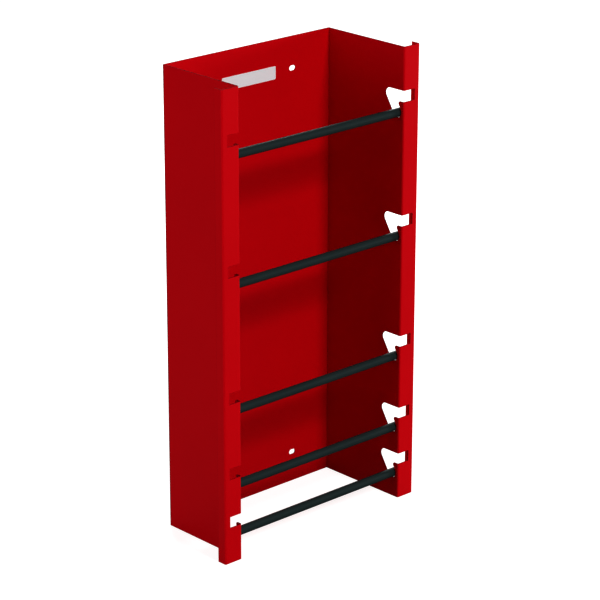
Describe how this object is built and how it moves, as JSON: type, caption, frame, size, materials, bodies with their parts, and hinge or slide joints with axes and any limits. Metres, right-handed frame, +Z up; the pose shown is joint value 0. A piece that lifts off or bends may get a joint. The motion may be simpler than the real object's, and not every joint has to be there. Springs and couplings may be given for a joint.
{
  "type": "reel storage rack",
  "caption": "Open-fronted sheet-steel rack for reels of cable or wire: lift-out rods lie across it in hooked slots in the folded side panels.",
  "frame": {"origin": "middle of the footprint, on the floor", "axes": "+Z up, -Y towards the open front, +X to the right as seen from the front"},
  "size_m": [0.6146, 0.256, 1.14],
  "materials": {
    "rack_paint": "gloss red powder coat",
    "rod_paint": "satin black powder coat",
    "plug_plastic": "moulded black plastic",
    "label": "plain silver-grey film"
  },
  "bodies": {
    "rack": {"back_panel": "rack_paint", "left_side_panel": "rack_paint", "right_side_panel": "rack_paint", "label_plate": "label"},
    "rod_1_ends": {"rod_1_left_plug": "plug_plastic", "rod_1_right_plug": "plug_plastic"},
    "rod_1_tube": {"rod_1_tube": "rod_paint"},
    "rod_2_ends": {"rod_2_left_plug": "plug_plastic", "rod_2_right_plug": "plug_plastic"},
    "rod_2_tube": {"rod_2_tube": "rod_paint"},
    "rod_3_ends": {"rod_3_left_plug": "plug_plastic", "rod_3_right_plug": "plug_plastic"},
    "rod_3_tube": {"rod_3_tube": "rod_paint"},
    "rod_4_ends": {"rod_4_left_plug": "plug_plastic", "rod_4_right_plug": "plug_plastic"},
    "rod_4_tube": {"rod_4_tube": "rod_paint"},
    "rod_5_ends": {"rod_5_left_plug": "plug_plastic", "rod_5_right_plug": "plug_plastic"},
    "rod_5_tube": {"rod_5_tube": "rod_paint"}
  },
  "joints": [
    {"name": "rod_1_lift", "type": "slide", "parent": "rack", "child": "rod_1_ends", "axis": [0, 0.5299, 0.848], "range_m": [0, 0.05]},
    {"name": "rod_1_turn", "type": "hinge", "parent": "rod_1_ends", "child": "rod_1_tube", "pos_m": [0, -0.1065, 0.06095], "axis": [1, 0, 0], "continuous": true},
    {"name": "rod_2_lift", "type": "slide", "parent": "rack", "child": "rod_2_ends", "axis": [0, 0.5299, 0.848], "range_m": [0, 0.05]},
    {"name": "rod_2_turn", "type": "hinge", "parent": "rod_2_ends", "child": "rod_2_tube", "pos_m": [0, -0.1065, 0.18195], "axis": [1, 0, 0], "continuous": true},
    {"name": "rod_3_lift", "type": "slide", "parent": "rack", "child": "rod_3_ends", "axis": [0, 0.5299, 0.848], "range_m": [0, 0.05]},
    {"name": "rod_3_turn", "type": "hinge", "parent": "rod_3_ends", "child": "rod_3_tube", "pos_m": [0, -0.1065, 0.36795], "axis": [1, 0, 0], "continuous": true},
    {"name": "rod_4_lift", "type": "slide", "parent": "rack", "child": "rod_4_ends", "axis": [0, 0.5299, 0.848], "range_m": [0, 0.05]},
    {"name": "rod_4_turn", "type": "hinge", "parent": "rod_4_ends", "child": "rod_4_tube", "pos_m": [0, -0.1065, 0.67295], "axis": [1, 0, 0], "continuous": true},
    {"name": "rod_5_lift", "type": "slide", "parent": "rack", "child": "rod_5_ends", "axis": [0, 0.5299, 0.848], "range_m": [0, 0.05]},
    {"name": "rod_5_turn", "type": "hinge", "parent": "rod_5_ends", "child": "rod_5_tube", "pos_m": [0, -0.1065, 0.97795], "axis": [1, 0, 0], "continuous": true}
  ]
}
